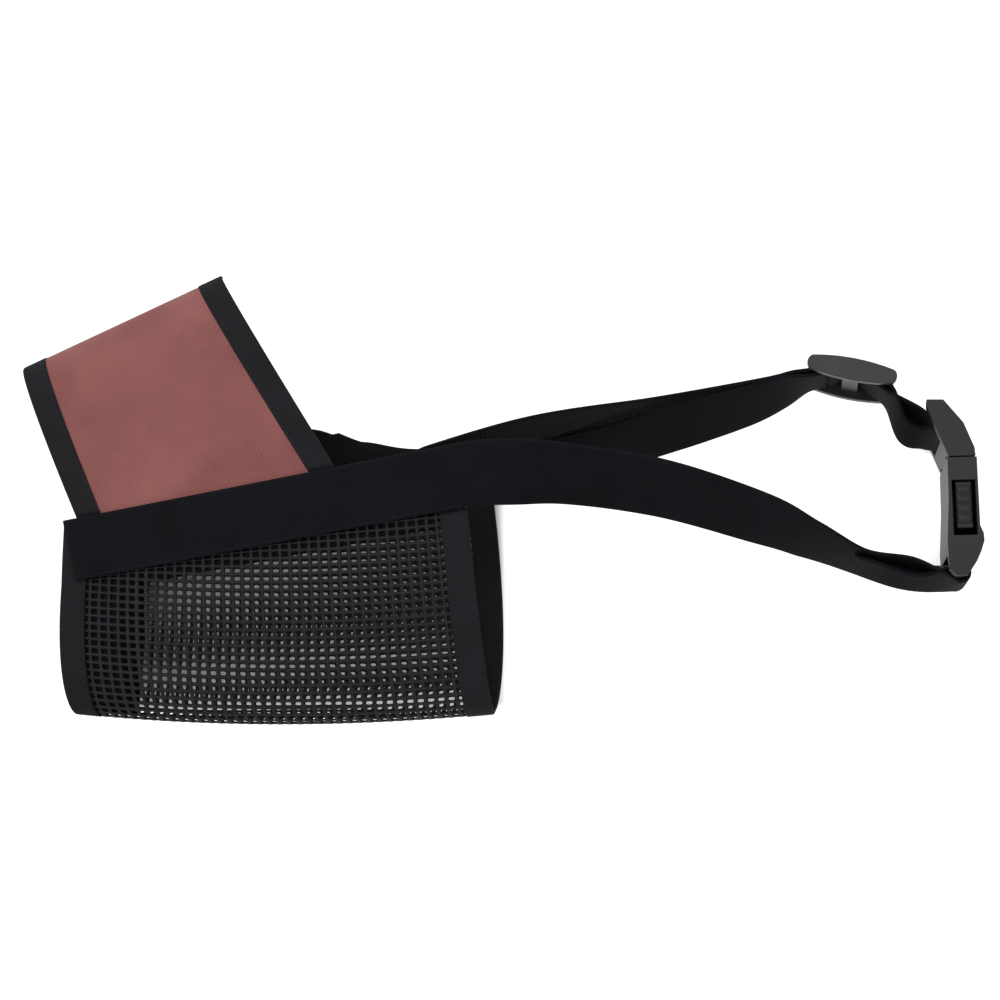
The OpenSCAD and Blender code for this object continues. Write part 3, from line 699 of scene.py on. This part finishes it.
facing = {"x1": meshX0 + cut["tapeW"] + lay + cut["facingW"],
          "x2": rimX - meshCut["cutBack"] - cut["tapeW"] - lay,
          "low": -strapW / 2 - 4.5, "high": strapW / 2 - 1, "chinW": 13.5, "chinUnder": 1.5, "chinPast": 0.6}
for side, word in ((1.0, "left"), (-1.0, "right")):
    strip = seamStrip(word + "SeamFacing", side, facing["x1"] + lay, facing["x2"] - 1, facing["low"],
                      facing["high"], -outD, -tapeD, "facing")
    place(strip, "basket", [word + "_seam_facing"])
rows = np.linspace(-meshN - facing["chinPast"], meshN + facing["chinPast"], 95)[None, :]
inward = cut["tapeW"] - facing["chinUnder"] + facing["chinW"] * np.linspace(0, 1, 9)[:, None]
share = inward / np.array([rowLength(meshPoint, r) for r in rows[0]])[None, :]
chin = slab("chinFacing", meshPoint(share, rows, -outD), meshPoint(share, rows, -tapeD),
            share * cut["meshLen"], runLength(meshPoint(share[4], rows[0], 0.0))[None, :], "facing")
place(chin, "basket", ["front_chin_facing"])
print("facings made")

web = {"thin": 0.12, "edge": 0.88, "endFat": (0.45, 0.85), "slantSteps": 14}


# Webbing: a strip with half-round edges, carried along stations of place and twist
def webProfile():
    r = strapT / 2
    s = np.linspace(-1, 1, 17)
    w, n = s * (strapW / 2 - r), r * (1 - web["thin"] * s ** 8)
    a = np.radians([60, 30, 0, -30, -60])
    pw = np.concatenate([w, strapW / 2 - r + r * np.cos(a), w[::-1], r * -np.cos(a) - strapW / 2 + r])
    pn = np.concatenate([n, r * web["edge"] * np.sin(a), -n[::-1], -r * web["edge"] * np.sin(a)])
    return pw, pn


def webbing(name, S, slant=0.0):  # slant leans the first end over by that share of the width
    c, twist = S[:, :3], np.radians(S[:, 3])[:, None]
    t = unit(np.gradient(c, axis=0))
    h = unit(np.stack([-t[:, 1], t[:, 0], 0 * t[:, 0]], -1))
    v = np.cross(t, h)
    across, out = np.cos(twist) * h + np.sin(twist) * v, np.cos(twist) * v - np.sin(twist) * h
    pw, pn = webProfile()
    fat = np.ones(len(S))
    fat[[0, -1]], fat[[1, -2]] = web["endFat"]
    P = (c[:, None] + across[:, None] * pw[None, :, None]
         + out[:, None] * (pn[None, :] * fat[:, None])[..., None])
    lean = slant * np.clip(1 - np.arange(len(S)) / web["slantSteps"], 0, 1)
    P -= t[:, None] * (lean[:, None] * pw)[..., None]
    return loft(name, P, runLength(c), pw, "web")


def bend(control, t):  # smooth path through control points
    i = np.clip(np.floor(t).astype(int), 0, len(control) - 2)
    f = (t - i)[:, None]
    last = len(control) - 1
    a, b, c, d = control[np.maximum(i - 1, 0)], control[i], control[i + 1], control[np.minimum(i + 2, last)]
    return 0.5 * (2 * b + (c - a) * f + (2 * a - 5 * b + 4 * c - d) * f ** 2 + (3 * b - a - 3 * c + d) * f ** 3)


def evened(S, step):  # the same stations at an even spacing
    run = runLength(S[:, :3])
    to = np.linspace(0, run[-1], int(run[-1] / step) + 1)
    return np.stack([np.interp(to, run, S[:, k]) for k in range(4)], -1)


def around(centre, degrees):  # places on the loop of webbing round a bar
    a = np.radians(degrees)
    return np.stack([centre[0] + loopR * np.cos(a), centre[1] + loopR * np.sin(a), midZ + 0 * a, 90 + 0 * a], -1)


def arc(centre, turn):  # the loop itself, from the side the webbing comes in on
    return around(centre, np.linspace(turn - 88, turn + 90, 16))


def beside(S, offset):  # the second layer of a doubled strap, moved sideways
    t = unit(np.gradient(S[:, :3], axis=0))
    h = unit(np.stack([-t[:, 1], t[:, 0], 0 * t[:, 0]], -1))
    moved = S.copy()
    moved[:, :2] += h[:, :2] * np.reshape(offset, (-1, 1))
    return moved


buckleW = strapW + 2 * cut["railW"] + cut["railPlay"]
midZ = buckleW / 2
bx, by = rimX + cut["neckReach"], cut["buckleRise"]
loopR = cut["barR"] + lay + strapT / 2
sep = strapT + lay
socketBar = np.array([bx - cut["socketBack"], by - cut["socketLen"]])
plugBar = np.array([bx - cut["plugBack"], by + cut["plugRise"]])
sliderC = np.array([bx - cut["sliderBack"], by + cut["sliderRise"]])
endU = cut["sliderLen"] / 2 - cut["sliderEnd"]
sideN = cut["sliderBar"] / 2 + cut["sliderPlay"] + lay + strapT / 2
# The lower face's band rises and dips near the nose cloth's rear edge: two bell curves of x
farWave = {"rise": 4.8, "riseX": -69.0, "riseLen": 6.2, "dip": 1.9, "dipX": -54.5, "dipLen": 5.5}


def bandLine(side, n=130):  # the stretch of webbing sewn along the basket
    x = np.linspace(bandX0, bandX1, n)
    rise = farWave["rise"] * np.exp(-((x - farWave["riseX"]) / farWave["riseLen"]) ** 2)
    wave = (rise - farWave["dip"] * np.exp(-((x - farWave["dipX"]) / farWave["dipLen"]) ** 2)) * (side < 0)
    return np.concatenate([skin(x, bandY(x) + wave, side, outD + strapT / 2), 0 * x[:, None]], 1)


def spread(start, end, table):  # control points given as shares of the way from start to end
    table = np.array(table)
    return np.concatenate([mix(start, end, table[:, :3]), table[:, 3:]], 1)


left = {"turn": -12.0, "slant": 0.12, "step": 0.9, "backStep": 0.8, "layerGap": 0.2, "closeLen": 11.0,
        "sewnLen": cut["sewnLen"] + 7, "barGap": 0.5}
leftFrom = bandLine(1.0, 2)[1, :3]
leftTo = around(socketBar, left["turn"] - 90)[:3]
leftPath = spread(leftFrom, leftTo, [
    (0, 0, 0, 2), (0.08, -0.006, 0.02, 12), (0.2, 0.012, 0.137, 34), (0.4, 0.144, 0.333, 40),
    (0.6, 0.405, 0.57, 49), (0.7, 0.587, 0.72, 63), (0.8, 0.767, 0.9, 76), (0.9, 0.878, 1, 69),
    (0.97, 0.96, 1, 81), (1, 1, 1, 90)])
go = bend(leftPath, np.linspace(0, len(leftPath) - 1, 300))
gap = leftTo[0] - go[:, 0]
apart = sep + left["layerGap"]
back = beside(go, apart + (2 * loopR - apart) * (1 - ease(gap / left["closeLen"])))
back = back[(gap < left["sewnLen"]) & (gap > left["barGap"])][::-1]
leftStations = np.concatenate([bandLine(1.0)[:-1], evened(go, left["step"])[:-1],
                               arc(socketBar, left["turn"]), evened(back, left["backStep"])])
leftStrap = webbing("leftStrap", leftStations, left["slant"])
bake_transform(leftStrap)
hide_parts("left_side_band", "left_strap_root", "left_neck_strap")


def slid(forward, n):  # a place in the slider's own directions, with the webbing upright
    c, s = np.cos(np.radians(cut["sliderTurn"])), np.sin(np.radians(cut["sliderTurn"]))
    return np.array([sliderC[0] + forward * c - n * s, sliderC[1] + forward * s + n * c, midZ, 90.0])


right = {"turn": -37.0, "step": 0.9, "weaveStep": 0.7, "tailStep": 1.0, "sag": (0.4, 1.6, 0, 25),
         "sagEnd": (0.2, -0.5, 0, 2), "closeLen": 9.0, "barGap": 0.4, "runEnd": 8.9, "backEnd": 8.07,
         "tailFall": 0.185, "tailShown": (0.02, 4.8)}
rightFrom = bandLine(-1.0, 2)[1, :3]
rightTo = slid(-endU, -sideN - sep)
plugTo = around(plugBar, right["turn"] - 90)
sagTo = mix(slid(endU, -sideN - sep), plugTo, 0.5) - np.array(right["sag"])
rightPath = np.concatenate([spread(rightFrom, rightTo[:3], [
    (0, 0, 0, 0), (0.08, 0, 0.2, 0), (0.22, -0.01, 0.54, 46), (0.366, 0.115, 0.75, 56),
    (0.516, 0.29, 0.88, 59), (0.664, 0.47, 0.97, 62), (0.82, 0.69, 1, 67), (0.92, 0.875, 1, 75), (1, 1, 1, 90)]),
    [slid(-endU / 2, -sep / 2), slid(0, sideN), slid(endU / 2, -sep / 2), slid(endU, -sideN - sep - 0.4),
     sagTo, mix(sagTo, plugTo, 0.55) + np.array(right["sagEnd"]), plugTo]])
# The root ends where its stated length does, between the second and third control points
rootT = 1 + (cut["rootLen"] + rightPath[0, 0] - rightPath[1, 0]) / (rightPath[2, 0] - rightPath[1, 0])
rightStations = np.concatenate([bandLine(-1.0)[:-1],
                                evened(bend(rightPath, np.linspace(0, rootT, 60)), right["step"])])
rightRoot = webbing("rightStrapRoot", rightStations)
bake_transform(rightRoot)
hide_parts("right_side_band", "right_strap_root")
rightT = np.linspace(rootT + 0.0005, right["runEnd"], 240)
rightRun = webbing("rightStrap", evened(bend(rightPath, rightT), right["step"]))
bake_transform(rightRun)
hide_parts("right_neck_strap")
t = np.linspace(right["backEnd"], len(rightPath) - 1, 460)
go = bend(rightPath, t)
gap = plugTo[0] - go[:, 0]
back = beside(go, sep + (2 * loopR - sep) * (1 - ease(gap / right["closeLen"])))[gap > right["barGap"]][::-1]
last = back[-1]
# The tail's control points: share of its length, rise, lift and twist
tailLine = ((0, 0, 0, 90), (0.045, 0, 0, 93), (0.12, -0.9, 0, 97), (0.4, 0.1, 1, 98), (0.7, -0.5, 14.4, 95),
            (1, -2.6, 13, 93))
tail = np.array([[last[0] - cut["tailLen"] * f, last[1] + rise - cut["tailLen"] * f * right["tailFall"],
                  midZ + lift, twist] for f, rise, lift, twist in tailLine])
free = bend(tail, np.linspace(*right["tailShown"], 220))
adjuster = webbing("adjusterStrap", np.concatenate([
    evened(go[t > right["runEnd"]], right["weaveStep"]), arc(plugBar, right["turn"]),
    evened(back, right["weaveStep"]), evened(free, right["tailStep"])[1:]]))
place(adjuster, "plug_end", ["adjuster_strap"])
print("straps made")

mould = {"weld": 2e-6, "flatAngle": 1.5, "edgeAngle": 32, "edgeSteps": 3}


# Moulded pieces: the solid's own shape, welded, with its edges rounded
def moulded(name, node, finish, radius):
    mesh = frame["nodes"][node].data.copy()
    mesh.name = name
    work = bmesh.new()
    work.from_mesh(mesh)
    bmesh.ops.remove_doubles(work, verts=work.verts, dist=mould["weld"])
    bmesh.ops.dissolve_limit(work, angle_limit=np.radians(mould["flatAngle"]), verts=work.verts, edges=work.edges)
    work.to_mesh(mesh)
    work.free()
    mesh.materials.clear()
    mesh.materials.append(finishes[finish])
    mesh.polygons.foreach_set("use_smooth", np.full(len(mesh.polygons), True))
    made = bpy.data.objects.new(name, mesh)
    bpy.context.scene.collection.objects.link(made)
    edges = made.modifiers.new("edges", "BEVEL")
    edges.width, edges.segments, edges.limit_method = radius / 1000, mould["edgeSteps"], "ANGLE"
    edges.angle_limit = np.radians(mould["edgeAngle"])
    evenly = made.modifiers.new("evenly", "WEIGHTED_NORMAL")
    evenly.keep_sharp = True
    place(made, frame["nodes"][node]["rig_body"], [node])
    return made


moulded("buckleSocketShell", "buckle_socket", "buckle", 0.45)
moulded("bucklePlugShell", "buckle_plug", "buckle", 0.45)
moulded("upperProngArm", "upper_prong", "prong", 0.3)
moulded("lowerProngArm", "lower_prong", "prong", 0.3)
moulded("sliderFrame", "strap_slider", "slider", 0.5)

# Finger ribs on the prongs: a row of round ridges across the pad
pad = {"ribs": 4, "height": 0.6, "y0": by - 19.8, "y1": by - 8.4, "halfW": 2.1, "inset": 0.5, "sink": 0.1,
       "least": 0.02}
for word, z, way in (("upper", buckleW - pad["inset"], 1), ("lower", pad["inset"], -1)):
    s, t = np.meshgrid(np.linspace(0, 1, 61), np.linspace(-1, 1, 13), indexing="ij")
    ridge = np.abs(np.sin(np.pi * pad["ribs"] * s)) ** 0.8 * (1 - t ** 6) * pad["height"] + pad["least"]
    top = np.stack([bx + t * pad["halfW"], mix(pad["y0"], pad["y1"], s), z + way * ridge], -1)
    low = top.copy()
    low[..., 2] = z - way * pad["sink"]
    place(slab(word + "ProngRibs", top, low, s, t, "prong"), word + "_prong", ())
print("buckle and slider made")

low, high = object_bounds()
print("size of the dressed part:", [round(h - l, 4) for l, h in zip(low, high)])
